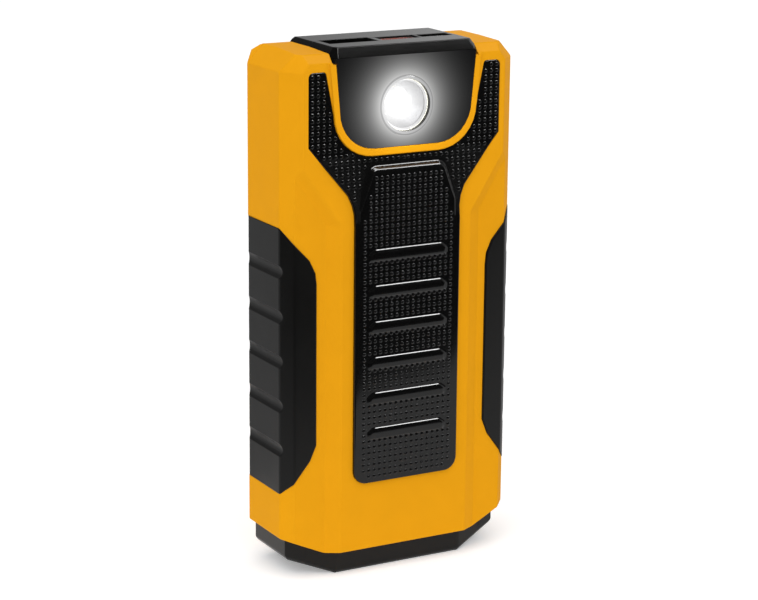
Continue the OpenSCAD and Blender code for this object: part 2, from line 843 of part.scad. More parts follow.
module inlet_shell() {
    z0 = port_board_z + 6.2;
    color([0.75, 0.76, 0.78])
        translate([inlet_x, row_y, z0])
            difference() {
                linear_extrude(height = cover_top - 0.6 - z0)
                    stadium(inlet_width, inlet_thick);
                translate([0, 0, -1])
                    linear_extrude(height = 30)
                        stadium(inlet_width - 0.6, inlet_thick - 0.6);
            }
}

module inlet_tongue() {
    z0 = port_board_z + 1.2;
    color([0.08, 0.08, 0.08])
        union() {
            translate([inlet_x - 4.9, row_y - 2.3, z0])
                cube([9.8, 4.6, 5]);
            translate([inlet_x - inlet_width / 2 + 1.2, row_y - 0.35, z0 + 4])
                cube([inlet_width - 2.4, 0.7, cover_top - 1.5 - z0 - 4]);
        }
}

module jump_housing() {
    color([0.12, 0.13, 0.14])
        difference() {
            translate([jump_x - jump_width / 2, row_y - jump_depth / 2, contact_low - 1.2])
                cube([jump_width, jump_depth, jump_top - contact_low + 1.2]);
            for (sx = [-1, 1])
                translate([jump_x + sx * contact_pitch / 2, row_y, contact_low])
                    cylinder(d = contact_outer, h = 60, $fn = 64);
            for (sx = [-1, 1])
                translate([jump_x + sx * contact_pitch / 2 - 1.6, row_y - 1.6, contact_low - 3])
                    cube([3.2, 3.2, 5]);
        }
}

module jump_contacts() {
    color([0.86, 0.68, 0.30])
        for (sx = [-1, 1])
            translate([jump_x + sx * contact_pitch / 2, row_y, contact_low])
                difference() {
                    cylinder(d = contact_outer, h = contact_top - contact_low, $fn = 64);
                    translate([0, 0, 1.2])
                        cylinder(d = contact_bore, h = 60, $fn = 64);
                }
}

module jump_leads() {
    color([0.80, 0.55, 0.35])
        for (sx = [-1, 1])
            translate([jump_x + sx * contact_pitch / 2 - 1.5, row_y - 1.5, contact_low])
                union() {
                    translate([0, 0, -10])
                        cube([3, 3, 10]);
                    translate([0, 0, -15])
                        cube([3, board_y - row_y + 1.5, 7]);
                }
}

module tact_switch() {
    color([0.14, 0.14, 0.15])
        union() {
            translate([-3, board_back, button_z - 3])
                cube([6, 3.6, 6]);
            bar_y(0, button_z, 1.7, board_back + 3.5, stem_tip - button_travel - 0.1);
        }
}

module power_button() {
    r = button_diameter / 2;
    color([0.15, 0.15, 0.16])
        union() {
            translate([0, 0, button_z])
                rotate([-90, 0, 0])
                    rotate_extrude($fn = 96)
                        polygon([[0, stem_tip], [2, stem_tip], [2, cover_in - 1.2], [r + 1.2, cover_in - 1.2],
                            [r + 1.2, cover_in - 0.3], [r, cover_in - 0.3], [r, by + button_proud - 0.5],
                            [r - 0.5, by + button_proud], [r - 2, by + button_proud],
                            [r - 3, by + button_proud - 0.3], [0, by + button_proud - 0.4]]);
        }
}

module status_leds() {
    color([0.90, 0.92, 0.88])
        for (i = [0 : pipe_count - 1])
            translate([pipe_x(i) - 0.8, board_back, pipe_z - 0.4])
                cube([1.6, 0.7, 0.8]);
}

module light_pipes() {
    color([0.85, 0.90, 0.95])
        for (i = [0 : pipe_count - 1])
            translate([pipe_x(i), 0, pipe_z])
                rotate([-90, 0, 0])
                    rotate_extrude($fn = 48)
                        polygon([[0, board_back + 0.9], [pipe_diameter / 2 - 0.3, board_back + 0.9],
                            [pipe_diameter / 2 - 0.1, cover_in - 1], [pipe_diameter / 2 + 0.5, cover_in - 1],
                            [pipe_diameter / 2 + 0.5, cover_in], [pipe_diameter / 2, cover_in],
                            [pipe_diameter / 2, by], [0, by]]);
}

// A screw along Y: its head's bearing face at y, the head on the side given by s
module screw(x, y, z, head_d, head_h, shank_d, length, s) {
    translate([x, y, z])
        rotate([s * -90, 0, 0])
            difference() {
                union() {
                    cylinder(d = head_d, h = head_h, $fn = 40);
                    translate([0, 0, -length])
                        cylinder(d = shank_d, h = length + 0.1, $fn = 32);
                }
                for (a = [0, 90])
                    rotate([0, 0, a])
                        translate([-head_d * 0.3, -0.3, head_h * 0.45])
                            cube([head_d * 0.6, 0.6, head_h]);
            }
}

module cover_screws() {
    color([0.55, 0.56, 0.58])
        for (sx = [-1, 1])
            for (z = [screw_low, screw_high])
                screw(sx * screw_x, by - screw_head_high, z, screw_head, screw_head_high - 0.2, screw_shank,
                    screw_long, 1);
}

module board_screws() {
    color([0.55, 0.56, 0.58])
        for (sx = [-1, 1])
            for (z = board_screw_rows)
                screw(sx * board_screw_x, board_y, z, board_screw_head, board_screw_high, board_screw,
                    board_screw_long, -1);
}

module capacitors() {
    color([0.20, 0.22, 0.30])
        for (i = [0, 1])
            bar_y(inductor_side + 2 + i * capacitor_pitch, board_low + inductor_side + 6,
                capacitor_diameter / 2, board_y - capacitor_long, board_y);
}

module inductor() {
    color([0.30, 0.30, 0.32])
        union() {
            translate([0.5 - inductor_side / 2, board_y - inductor_thick, board_low + 8.5])
                cube([inductor_side, inductor_thick, inductor_side]);
            bar_y(0.5, board_low + 8.5 + inductor_side / 2, inductor_side * 0.4,
                board_y - inductor_thick - 0.6, board_y - inductor_thick + 0.1);
        }
}

front_shell();
rear_cover();
front_insert();
grip_left();
grip_right();
base_cap();
top_cover();
lamp_panel();
lens_ring();
lamp_lens();
reflector();
led_board();
led_emitter();
lamp_leads();
cells();
cell_pads();
busbars();
main_board();
port_board();
usb_shell();
usb_tongue();
inlet_shell();
inlet_tongue();
jump_housing();
jump_contacts();
jump_leads();
tact_switch();
power_button();
status_leds();
light_pipes();
cover_screws();
board_screws();
capacitors();
inductor();
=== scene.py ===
import functools
import math

import bmesh
import bpy
from mathutils import Matrix, Vector
from mathutils.bvhtree import BVHTree
from mathutils.geometry import delaunay_2d_cdt


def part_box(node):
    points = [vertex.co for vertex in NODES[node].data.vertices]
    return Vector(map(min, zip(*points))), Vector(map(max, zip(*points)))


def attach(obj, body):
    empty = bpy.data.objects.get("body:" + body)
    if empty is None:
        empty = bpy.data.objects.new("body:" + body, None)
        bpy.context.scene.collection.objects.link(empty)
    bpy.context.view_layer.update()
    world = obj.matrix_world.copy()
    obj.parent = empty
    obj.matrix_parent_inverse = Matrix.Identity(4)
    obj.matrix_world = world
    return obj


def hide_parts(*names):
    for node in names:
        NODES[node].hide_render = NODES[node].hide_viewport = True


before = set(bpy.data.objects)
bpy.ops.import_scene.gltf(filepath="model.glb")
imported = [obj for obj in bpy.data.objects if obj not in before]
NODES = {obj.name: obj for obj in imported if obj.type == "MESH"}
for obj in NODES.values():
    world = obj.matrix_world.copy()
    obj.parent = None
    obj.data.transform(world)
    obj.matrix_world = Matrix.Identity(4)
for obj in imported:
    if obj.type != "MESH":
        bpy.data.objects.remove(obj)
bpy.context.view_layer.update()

# The jump starter pack: its moulded outer parts are copies of the CAD nodes with rounded edges, its
# black insert is built anew with its dots, and the other nodes keep their meshes and get a finish.
# Everything is in metres.
MM = 0.001


# ---------------------------------------------------------------- places taken from the frame

@functools.cache
def corner(node, side, axis):
    """One coordinate of a CAD node's box, side 0 being the lowest and 1 the highest."""
    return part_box(node)[side][axis]


HOUSING_TOP = corner("front_shell", 1, 2)
INSERT_LOW = corner("front_insert", 0, 2)
INSERT_HALF = corner("front_insert", 1, 0)
CREST_Y = corner("front_insert", 0, 1)
LAMP_Z = (corner("lens_ring", 0, 2) + corner("lens_ring", 1, 2)) / 2
# Middle of the lamp ring's front
LAMP = Vector((0, corner("lens_ring", 0, 1), LAMP_Z))
LENS_R = (corner("lamp_lens", 1, 0) - corner("lamp_lens", 0, 0)) / 2
PANEL_Y = corner("lamp_panel", 0, 1)


# ---------------------------------------------------------------- the camera

# Fitted to the photograph: angles in radians, place in metres, lens in millimetres on the sensor
CAMERA_YAW = math.radians(-29.089)
CAMERA_PITCH = math.radians(14.337)
CAMERA_ROLL = math.radians(0.52)
CAMERA_PLACE = (-0.3525, -0.63315, 0.26943)
CAMERA_LENS = 111.37
CAMERA_SENSOR = 36
# Level direction from the object toward the camera
TO_CAMERA = Vector((math.sin(CAMERA_YAW), -math.cos(CAMERA_YAW), 0))


def make_camera():
    """The camera at the photograph's place and angle."""
    back = TO_CAMERA * math.cos(CAMERA_PITCH) + Vector((0, 0, math.sin(CAMERA_PITCH)))
    right = (-back).cross(Vector((0, 0, 1))).normalized()
    up = right.cross(-back)
    turned_right = math.cos(CAMERA_ROLL) * right + math.sin(CAMERA_ROLL) * up
    turned_up = math.cos(CAMERA_ROLL) * up - math.sin(CAMERA_ROLL) * right
    turn = Matrix((turned_right, turned_up, back)).transposed().to_4x4()
    data = bpy.data.cameras.new("camera")
    data.sensor_width = CAMERA_SENSOR
    data.lens = CAMERA_LENS
    data.clip_start = 0.01
    data.clip_end = 50
    camera = bpy.data.objects.new("camera", data)
    camera.matrix_world = Matrix.Translation(CAMERA_PLACE) @ turn
    bpy.context.scene.collection.objects.link(camera)
    bpy.context.scene.camera = camera


# ---------------------------------------------------------------- materials

def math_node(tree, operation, a, b=0.0):
    """A Math node in a tree; a and b are numbers or other nodes' outputs."""
    made = tree.nodes.new("ShaderNodeMath")
    made.operation = operation
    for socket, value in zip(made.inputs, (a, b)):
        if isinstance(value, (int, float)):
            socket.default_value = value
        else:
            tree.links.new(value, socket)
    return made.outputs[0]


class Finish:
    """A Principled material with short ways to add nodes to it."""

    def __init__(self, name, color, roughness, **sockets):
        self.material = bpy.data.materials.new(name)
        self.material.use_nodes = True
        self.tree = self.material.node_tree
        self.shader = self.tree.nodes["Principled BSDF"]
        self.shader.inputs["Base Color"].default_value = (*color, 1)
        self.shader.inputs["Roughness"].default_value = roughness
        for socket, value in sockets.items():
            self.shader.inputs[socket.replace("_", " ")].default_value = value
        self.color = color
        self.place = self.node("ShaderNodeTexCoord").outputs["Object"]

    def node(self, kind, **settings):
        """A new node with these settings."""
        made = self.tree.nodes.new(kind)
        for key, value in settings.items():
            setattr(made, key, value)
        return made

    def link(self, a, b):
        """Links an output to an input."""
        self.tree.links.new(a, b)

    def noise(self, size, detail=2.0, stretch=(1, 1, 1)):
        """A noise whose features are about size metres across."""
        mapping = self.node("ShaderNodeMapping")
        mapping.inputs["Scale"].default_value = stretch
        noise = self.node("ShaderNodeTexNoise")
        noise.inputs["Scale"].default_value = 1 / size
        noise.inputs["Detail"].default_value = detail
        self.link(self.place, mapping.inputs["Vector"])
        self.link(mapping.outputs["Vector"], noise.inputs["Vector"])
        return noise.outputs["Fac"]

    def spread(self, value, low, high):
        """Maps a noise, which stays near its middle, onto low to high."""
        ramp = self.node("ShaderNodeMapRange")
        ramp.inputs["From Min"].default_value = 0.25
        ramp.inputs["From Max"].default_value = 0.75
        ramp.inputs["To Min"].default_value = low
        ramp.inputs["To Max"].default_value = high
        self.link(value, ramp.inputs["Value"])
        return ramp.outputs["Result"]

    def tint(self, value, amount):
        """Varies the base colour's brightness by amount either way."""
        mix = self.node("ShaderNodeMix", data_type="RGBA", blend_type="MULTIPLY")
        mix.inputs[0].default_value = 1.0
        mix.inputs[6].default_value = (*self.color, 1)
        self.link(self.spread(value, 1 - amount, 1 + amount), mix.inputs[7])
        self.link(mix.outputs[2], self.shader.inputs["Base Color"])

    def math(self, operation, a, b=0.0):
        """The output of a Math node on a and b."""
        return math_node(self.tree, operation, a, b)

    def glow(self, centre, strength, reach, color=(1, 1, 1), forward=False):
        """Light that the surface gives off, fading with the distance from centre; on a part that is no
        lamp this is painted light.

        With forward, faces square to the Y axis give it off and those along it give none.
        """
        away = self.node("ShaderNodeVectorMath", operation="DISTANCE")
        away.inputs[1].default_value = centre
        self.link(self.place, away.inputs[0])
        fade = self.math("EXPONENT", self.math("MULTIPLY", away.outputs["Value"], -1 / reach))
        if forward:
            parts = self.node("ShaderNodeSeparateXYZ")
            self.link(self.node("ShaderNodeNewGeometry").outputs["Normal"], parts.inputs[0])
            facing = self.math("POWER", self.math("ABSOLUTE", parts.outputs["Y"]), 2.0)
            fade = self.math("MULTIPLY", fade, facing)
        self.link(self.math("MULTIPLY", fade, strength), self.shader.inputs["Emission Strength"])
        self.shader.inputs["Emission Color"].default_value = (*color, 1)

    def rough(self, value, low, high):
        """Varies the roughness from low to high."""
        self.link(self.spread(value, low, high), self.shader.inputs["Roughness"])

    def bump(self, value, height):
        """Bump of the given height in metres."""
        bump = self.node("ShaderNodeBump")
        bump.inputs["Distance"].default_value = height
        bump.inputs["Strength"].default_value = 1.0
        self.link(value, bump.inputs["Height"])
        self.link(bump.outputs["Normal"], self.shader.inputs["Normal"])


def moulded(name, color, roughness, grain=0.35 * MM, height=0.002 * MM, **sockets):
    """Moulded plastic: a fine spark-eroded grain, slight clouds in its colour and gloss."""
    made = Finish(name, color, roughness, **sockets)
    clouds = made.noise(9 * MM, 3)
    made.tint(clouds, 0.02)
    made.rough(clouds, roughness * 0.92, roughness * 1.08)
    made.bump(made.noise(grain, 2), height)
    return made.material


def metal(name, color, roughness, along=(1, 1, 1)):
    """Plated metal with faint drawing marks."""
    made = Finish(name, color, roughness, Metallic=1.0)
    marks = made.noise(0.4 * MM, 3, along)
    made.tint(marks, 0.06)
    made.rough(marks, roughness * 0.75, roughness * 1.3)
    made.bump(marks, 0.004 * MM)
    return made.material


# Middles of the lit lamp's glare: round it in the window, on the lens and ring, and at the emitter.
# Away from the emitter the glare is painted light.
PANEL_PAINTED_GLARE = LAMP + Vector((-0.8 * MM, 0, 0.2 * MM))
LENS_PAINTED_GLARE = LAMP + Vector((-2.8 * MM, 0, 0.2 * MM))
EMITTER = Vector((0, corner("led_emitter", 0, 1), LAMP_Z))


def lamp_finishes():
    """The lit lamp: its glare on the glossy window, the ring, the lens and the reflector is painted
    light that these parts give off; only the emitter is the lamp itself.
    """
    panel = Finish("lamp_window", (0.004, 0.004, 0.0042), 0.08, IOR=1.42)
    panel.rough(panel.noise(7 * MM, 3), 0.07, 0.09)
    # Painted glare: the window gives off light round the lamp, fading outwards
    panel.glow(PANEL_PAINTED_GLARE, 5.4, 3.95 * MM, (1, 1, 0.99))
    ring = Finish("lamp_ring", (0.006, 0.006, 0.006), 0.2, IOR=1.42)
    ring.rough(ring.noise(5 * MM, 3), 0.17, 0.23)
    # Painted glow on the ring's front faces
    ring.glow(LENS_PAINTED_GLARE, 1.55, 8.8 * MM, forward=True)
    rim = Finish("lens_rim", (0.8, 0.8, 0.75), 0.2, Transmission_Weight=0.5)
    rim.rough(rim.noise(2 * MM, 2), 0.1, 0.3)
    # Painted highlight: the lip glows warm where the lamp's light would catch the ring's inner edge
    rim.glow(LAMP, 0.25, 40 * MM, (1, 0.93, 0.66))
    lens = Finish("lamp_lens", (1, 1, 1), 0.03, Transmission_Weight=1.0, IOR=1.35)
    lens.rough(lens.noise(6 * MM, 3), 0.02, 0.05)
    # Painted glow on the lens's front
    lens.glow(LENS_PAINTED_GLARE, 0.74, 7.5 * MM, forward=True)
    bowl = Finish("reflector_chrome", (0.42, 0.42, 0.43), 0.2, Metallic=1.0)
    bowl.rough(bowl.noise(1 * MM, 3), 0.15, 0.25)
    # Painted light: the reflector glows round the emitter
    bowl.glow(EMITTER, 0.15, 3.6 * MM)
    emitter = Finish("led_phosphor", (0.85, 0.7, 0.2), 0.5)
    emitter.rough(emitter.noise(0.5 * MM, 3), 0.4, 0.6)
    emitter.glow(EMITTER, 0.6, 6 * MM)
    lamp = {"panel": panel, "ring": ring, "rim": rim, "lens": lens, "chrome": bowl, "phosphor": emitter}
    return {name: finish.material for name, finish in lamp.items()}


def make_materials():
    """Every finish of the object by its short name; colours are linear."""
    made = {
        "yellow": moulded("yellow_plastic", (0.712, 0.309, 0.0068), 0.38,
                          IOR=1.45, Specular_IOR_Level=0.01),
        "insert": moulded("insert_plastic", (0.0028, 0.0028, 0.0028), 0.11, height=0.0006 * MM,
                          IOR=1.42, Specular_IOR_Level=0.37),
        "grip": moulded("grip_rubber", (0.0032, 0.0031, 0.0029), 0.36, grain=0.5 * MM,
                        height=0.004 * MM, IOR=1.40, Specular_IOR_Level=0.28),
        "base": moulded("base_plastic", (0.006, 0.0055, 0.005), 0.33,
                        IOR=1.42, Specular_IOR_Level=0.24),
        "cover": moulded("cover_plastic", (0.0035, 0.0035, 0.0033), 0.15,
                         IOR=1.45, Specular_IOR_Level=0.07),
        "socket": moulded("socket_plastic", (0.012, 0.012, 0.012), 0.35),
        "button": moulded("button_rubber", (0.010, 0.010, 0.010), 0.45, height=0.004 * MM),
        "tongue": moulded("tongue_plastic", (0.62, 0.07, 0.02), 0.35),
        "steel": metal("socket_steel", (0.62, 0.62, 0.63), 0.25, (1, 1, 0.1)),
        "screw": metal("screw_zinc", (0.42, 0.43, 0.44), 0.30),
        "brass": metal("contact_gold", (0.83, 0.60, 0.24), 0.18, (1, 1, 0.1)),
        "copper": metal("lead_copper", (0.72, 0.42, 0.26), 0.3),
        "pouch": metal("cell_film", (0.55, 0.56, 0.58), 0.32),
        "foam": moulded("pad_foam", (0.05, 0.05, 0.055), 0.8, grain=0.8 * MM, height=0.05 * MM),
        "board": moulded("solder_mask", (0.012, 0.10, 0.035), 0.3),
        "white": moulded("lamp_board_white", (0.72, 0.73, 0.71), 0.45),
        "pipe": moulded("pipe_clear", (0.75, 0.8, 0.85), 0.12),
        "sleeve": moulded("capacitor_sleeve", (0.03, 0.04, 0.10), 0.35),
        "ferrite": moulded("inductor_ferrite", (0.05, 0.05, 0.055), 0.6),
    }
    made.update(lamp_finishes())
    return made


# ---------------------------------------------------------------- mesh helpers

WELD = 0.001 * MM
# Bends in degrees: triangles up to the first are one face; the others tell a crease
FLAT_BEND = 0.6
SHALLOW_BEND = 5
SHARP_BEND = 20
LONG_EDGE = 4 * MM
# How much of the room beside an edge its rounding takes
ROUNDING_SHARE = 0.42


def clean_mesh(node):
    """The CAD node's faces as a bmesh of welded, merged flat faces."""
    bm = bmesh.new()
    bm.from_mesh(NODES[node].data)
    bmesh.ops.remove_doubles(bm, verts=bm.verts, dist=WELD)
    bmesh.ops.dissolve_limit(bm, angle_limit=math.radians(FLAT_BEND), verts=bm.verts, edges=bm.edges)
    bmesh.ops.recalc_face_normals(bm, faces=bm.faces)
    return bm


def clearance(edge, rounded_edges):
    """How much room a rounding has beside an edge and along the edges it runs into."""
    a, b = (v.co for v in edge.verts)
    along = (b - a).normalized()
    reach = [edge.calc_length() * 2]
    for face in edge.link_faces:
        across = [((v.co - a) - (v.co - a).dot(along) * along).length for v in face.verts]
        reach.append(max(across))
    for vert in edge.verts:
        reach += [e.calc_length() for e in vert.link_edges if e not in rounded_edges]
    return min(reach)


def link_object(name, mesh, material):
    """A new object in the scene with this mesh and material."""
    made = bpy.data.objects.new(name, mesh)
    bpy.context.scene.collection.objects.link(made)
    mesh.materials.clear()
    mesh.materials.append(material)
    return made


def apply_modifiers(obj):
    """Replaces the object's mesh by its evaluated one."""
    bpy.context.view_layer.update()
    graph = bpy.context.evaluated_depsgraph_get()
    mesh = bpy.data.meshes.new_from_object(obj.evaluated_get(graph), depsgraph=graph)
    obj.modifiers.clear()
    obj.data = mesh


def shade(obj, sharp=40):
    """Smooth shading that keeps large faces flat and edges over sharp degrees crisp."""
    bm = bmesh.new()
    bm.from_mesh(obj.data)
    for face in bm.faces:
        face.smooth = True
    for edge in bm.edges:
        edge.smooth = not edge.is_manifold or edge.calc_face_angle(0) < math.radians(sharp)
    bm.to_mesh(obj.data)
    bm.free()
    weighted = obj.modifiers.new("weighted_normals", "WEIGHTED_NORMAL")
    weighted.keep_sharp = True
    weighted.weight = 100
    apply_modifiers(obj)


@functools.cache
def solids_tree():
    """All the CAD solids as one tree for ray casting."""
    points, faces = [], []
    for node in NODES.values():
        first = len(points)
        points += [node.matrix_world @ v.co for v in node.data.vertices]
        faces += [[first + i for i in p.vertices] for p in node.data.polygons]
    return BVHTree.FromPolygons(points, faces)


def sphere_directions(count):
    """Directions spread evenly over a sphere, on a spiral that turns by the golden angle."""
    golden = 2.4
    made = []
    for i in range(count):
        height = 1 - (2 * i + 1) / count
        across = math.sqrt(1 - height * height)
        made.append(Vector((across * math.cos(golden * i), across * math.sin(golden * i), height)))
    return made


SIGHT_LINES = sphere_directions(60)
# How far off a face a view of it starts
SIGHT_START = 0.12 * MM


def shows(edge):
    """True where an edge can be seen from outside the assembled object."""
    normal = sum((f.normal for f in edge.link_faces), Vector()).normalized()
    start = (edge.verts[0].co + edge.verts[1].co) / 2 + normal * SIGHT_START
    return any(line.dot(normal) > 0 and solids_tree().ray_cast(start, line)[0] is None
               for line in SIGHT_LINES)


def is_crease(edge):
    """True for an edge that is sharp, or shallow but long, so not one between a curve's facets."""
    bend = math.degrees(edge.calc_face_angle(0))
    return bend > SHARP_BEND or (bend > SHALLOW_BEND and edge.calc_length() > LONG_EDGE)


def rounded(node, name, material, width, sliver=0.0, body="housing"):
    """Puts a copy whose visible edges are rounded in a CAD node's place.

    Creases shorter than sliver, too short to round, are closed up first.
    """
    bm = clean_mesh(node)
    slivers = [e for e in bm.edges if e.calc_length() < sliver and is_crease(e) and shows(e)]
    bmesh.ops.collapse(bm, edges=slivers)
    layer = bm.edges.layers.float.new("bevel_weight_edge")
    rounded_edges = {e for e in bm.edges if e.is_manifold and is_crease(e) and shows(e)}
    for edge in rounded_edges:
        share = ROUNDING_SHARE * clearance(edge, rounded_edges) / width
        edge[layer] = max(0.0, min(1.0, share))
    mesh = bpy.data.meshes.new(name)
    bm.to_mesh(mesh)
    bm.free()
    made = link_object(name, mesh, material)
    bevel = made.modifiers.new("rounding", "BEVEL")
    bevel.limit_method = "WEIGHT"
    bevel.width = width
    bevel.segments = 3
    bevel.use_clamp_overlap = False
    bevel.miter_outer = "MITER_ARC"
    apply_modifiers(made)
    shade(made)
    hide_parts(node)
    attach(made, body)


# ---------------------------------------------------------------- the moulded outer parts

def make_housing(materials):
    """The outer parts but the front insert, each with its rounding's width."""
    rounded("front_shell", "housing_front", materials["yellow"], 0.42 * MM, sliver=0.25 * MM)
    rounded("rear_cover", "housing_rear", materials["yellow"], 0.42 * MM)
    rounded("base_cap", "base", materials["base"], 0.4 * MM)
    rounded("top_cover", "socket_cover", materials["cover"], 0.25 * MM)
    rounded("grip_left", "side_grip_left", materials["grip"], 0.6 * MM)
    rounded("grip_right", "side_grip_right", materials["grip"], 0.6 * MM)


# ---------------------------------------------------------------- the front insert

class Skin:
    """Collects the points and faces of one closed piece from rings and filled sheets."""

    def __init__(self):
        self.points = []
        self.faces = []

    def ring(self, points):
        """Adds points and gives their numbers."""
        first = len(self.points)
        self.points.extend(points)
        return list(range(first, len(self.points)))

    def bridge(self, a, b):
        """Quads between two closed rings of the same length."""
        for i in range(len(a)):
            j = (i + 1) % len(a)
            self.faces.append((a[i], a[j], b[j], b[i]))

    def fill(self, rings, inner, height):
        """Triangles inside the first ring, seen along Y, and round the convex rings after it."""
        flat = [place for ring in rings for place in self.seen(ring)]
        index = [i for ring in rings for i in ring]
        edges = []
        start = 0
        for ring in rings:
            count = len(ring)
            edges += [(start + i, start + (i + 1) % count) for i in range(count)]
            start += count
        for x, z in inner:
            flat.append(Vector((x, z)))
            index.append(len(self.points))
            self.points.append(Vector((x, height(x, z), z)))
        inside_only, weld = 1, 1e-7
        verts, _, faces, origins, _, _ = delaunay_2d_cdt(flat, edges, [], inside_only, weld)
        made = [index[o[0]] if o else None for o in origins]
        for i, place in enumerate(made):
            if place is None:
                made[i] = len(self.points)
                self.points.append(Vector((verts[i].x, height(*verts[i]), verts[i].y)))
        holes = [set(ring) for ring in rings[1:]]
        for face in faces:
            corners = tuple(made[i] for i in face)
            if not any(hole.issuperset(corners) for hole in holes):
                self.faces.append(corners)

    def seen(self, ring):
        """A ring's points as seen along Y."""
        return [Vector((self.points[i].x, self.points[i].z)) for i in ring]

    def build(self, name, material):
        """The piece as an object, with its faces turned outwards."""
        mesh = bpy.data.meshes.new(name)
        mesh.from_pydata(self.points, [], self.faces)
        bm = bmesh.new()
        bm.from_mesh(mesh)
        loose = [v for v in bm.verts if not v.link_faces]
        bmesh.ops.delete(bm, geom=loose, context="VERTS")
        bmesh.ops.recalc_face_normals(bm, faces=bm.faces)
        bm.to_mesh(mesh)
        bm.free()
        return link_object(name, mesh, material)


def back_outline(node):
    """The outline, seen along Y, of a CAD node's rear faces, as points in the XZ plane."""
    bm = clean_mesh(node)
    rear = {f for f in bm.faces if f.normal.y > 0.5}
    following = {}
    for face in rear:
        for loop in face.loops:
            if not set(loop.edge.link_faces) <= rear:
                following[loop.vert.index] = (loop.link_loop_next.vert.index, loop.vert.co.xz)
    start = min(following)
    outline, at = [], start
    while True:
        nxt, place = following[at]
        outline.append(place.copy())
        at = nxt
        if at == start:
            break
    bm.free()
    return outline


def resample(outline, spacing):
    """The same closed outline with points added so that none are further apart than spacing."""
    made = []
    for a, b in zip(outline, outline[1:] + outline[:1]):
        steps = max(1, math.ceil((b - a).length / spacing))
        made += [a.lerp(b, i / steps) for i in range(steps)]
    return made


def area_sign(outline):
    """1 for a closed outline that runs counter-clockwise, -1 for one that runs clockwise."""
    total = sum(a.x * b.y - b.x * a.y for a, b in zip(outline, outline[1:] + outline[:1]))
    return 1 if total > 0 else -1


def inset(outline, distance):
    """The closed outline moved inwards; distance is a number or one number for each point."""
    sharpest_mitre = 0.5
    sign = area_sign(outline)
    count = len(outline)
    made = []
    for i, here in enumerate(outline):
        d = distance[i] if isinstance(distance, list) else distance
        before = (here - outline[i - 1]).normalized()
        after = (outline[(i + 1) % count] - here).normalized()
        normal_a = Vector((-before.y, before.x)) * sign
        normal_b = Vector((-after.y, after.x)) * sign
        middle = (normal_a + normal_b).normalized()
        made.append(here + middle * d / max(sharpest_mitre, middle.dot(normal_a)))
    return made


def distance_to(outline, point):
    """Signed distance from a closed outline, over 0 inside it."""
    inside = False
    least = 1e9
    for a, b in zip(outline, outline[1:] + outline[:1]):
        along = b - a
        t = max(0.0, min(1.0, (point - a).dot(along) / max(along.length_squared, 1e-18)))
        least = min(least, (point - a - along * t).length)
        if (a.y > point.y) != (b.y > point.y):
            if point.x < a.x + (point.y - a.y) * along.x / along.y:
                inside = not inside
    return least if inside else -least


def smooth(value, low, high):
    """Runs smoothly from 0 to 1 as the value goes from low to high."""
    t = max(0.0, min(1.0, (value - low) / (high - low)))
    return t * t * (3 - 2 * t)


def arc_points(x, z, radius, start, end, count):
    """Points of a circular arc in the XZ plane, angles in degrees."""
    angles = (math.radians(start + (end - start) * i / count) for i in range(count + 1))
    return [Vector((x + radius * math.cos(a), z + radius * math.sin(a))) for a in angles]


# The wedge ridges across the pad: height of the lowest one's step, pitch, count and rise
RIDGE_FIRST = INSERT_LOW + 17.95 * MM
RIDGE_PITCH = 11.48 * MM
RIDGE_COUNT = 6
RIDGE_HEIGHT = 0.5 * MM
RIDGE_HALF = 14.2 * MM
# Its step runs from above to below that height, the crest of its arc lies further down, and it
# fades out at its low end
STEP_UP = 0.25 * MM
STEP_LOW = 0.17 * MM
CREST_DOWN = 1.86 * MM
RIDGE_RUN = 3.95 * MM
RIDGE_ARC_R = 9.4 * MM
RIDGE_END = 0.6 * MM
# Its sides slope in over this length, which is also its low corners' radius; it is narrower at
# the step by the widening, which starts a little above
RIDGE_SIDE = 1.4 * MM
RIDGE_WIDENING = 1.7 * MM
WIDENING_UP = 0.2 * MM
# The insert leans back between these heights, from its lower face to its wings
BEND_LOW = HOUSING_TOP - 54 * MM
BEND_HIGH = HOUSING_TOP - 31 * MM
INSERT_Y = CREST_Y + RIDGE_HEIGHT
WING_Y = PANEL_Y + 0.5 * MM
INSERT_THICK = 3.2 * MM
INSERT_RIM_R = 0.45 * MM
# The upright pad that stands out of the leaning face
PAD_HALF = 16.9 * MM
PAD_LOW = INSERT_LOW + 0.6 * MM
PAD_SHOULDER = HOUSING_TOP - 48 * MM
PAD_TOP = HOUSING_TOP - 35.5 * MM
PAD_TOP_HALF = 10.6 * MM
PAD_LOW_R = 2.8 * MM
PAD_TOP_R = 3.4 * MM
# The pad's border is this share of its height wide, but has a least width and height
BORDER_SHARE = 0.55
BORDER_WIDTH = 0.4 * MM
BORDER_HEIGHT = 0.002 * MM
BORDER_R = 1.0 * MM
# Spacing of the points along the outlines and across the front and rear, and how far those
# across a face keep from its edges
OUTLINE_SPACING = 2 * MM
FACE_SPACING = 2.5 * MM
FACE_EDGE = 0.9 * MM
REAR_SPACING = 4 * MM
REAR_EDGE = 1.5 * MM


def insert_face(x, z):
    """Y of the insert's surface beside the pad."""
    t = max(0.0, min(1.0, (z - BEND_LOW) / (BEND_HIGH - BEND_LOW)))
    return INSERT_Y + (WING_Y - INSERT_Y) * t


def pad_outline():
    """Closed outline of the pad's foot, counter-clockwise from the bottom right."""
    right = (
        arc_points(PAD_HALF - PAD_LOW_R, PAD_LOW + PAD_LOW_R, PAD_LOW_R, -90, 0, 6)
        + [Vector((PAD_HALF, PAD_SHOULDER))]
        + arc_points(PAD_TOP_HALF, PAD_TOP - PAD_TOP_R, PAD_TOP_R, 18, 90, 8)
    )
    left = [Vector((-p.x, p.y)) for p in reversed(right)]
    return resample(right + left, OUTLINE_SPACING)


